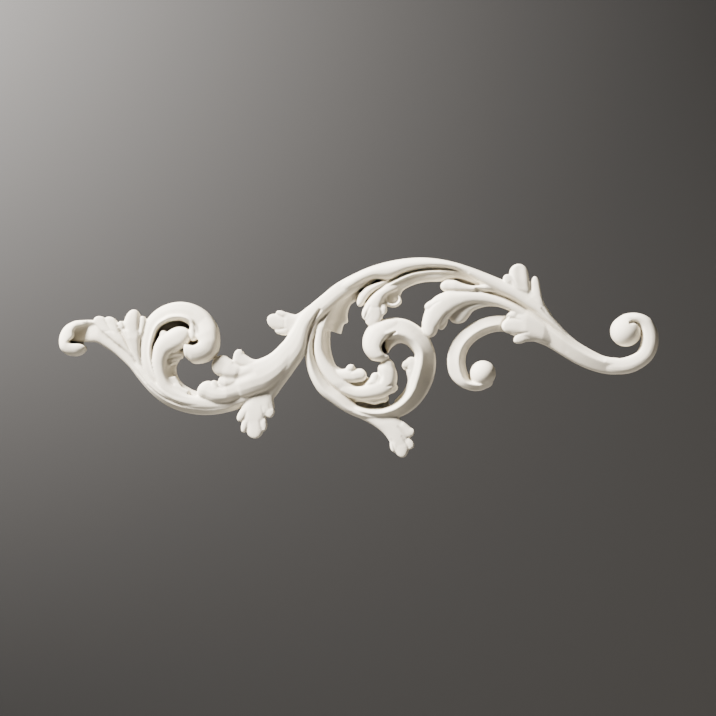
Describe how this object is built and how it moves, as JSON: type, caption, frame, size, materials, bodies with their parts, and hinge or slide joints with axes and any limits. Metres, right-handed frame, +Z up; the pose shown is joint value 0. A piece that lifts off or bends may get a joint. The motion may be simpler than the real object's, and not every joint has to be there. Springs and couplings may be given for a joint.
{
  "type": "acanthus scroll applique",
  "caption": "Carved acanthus scroll onlay with a flat back, cast in pale polyurethane, asymmetric: an arch of leaves round a spiral, running out to small volutes.",
  "frame": {"origin": "point on the flat back, behind the broad middle stem", "axes": "+X to the right along the ornament, +Z up as it hangs, +Y out of the flat back into the wall; the relief rises towards -Y"},
  "size_m": [0.6, 0.0279, 0.2001],
  "materials": {
    "primed_foam": "matt"
  },
  "bodies": {
    "root": {"scroll_applique": "primed_foam"}
  },
  "joints": []
}
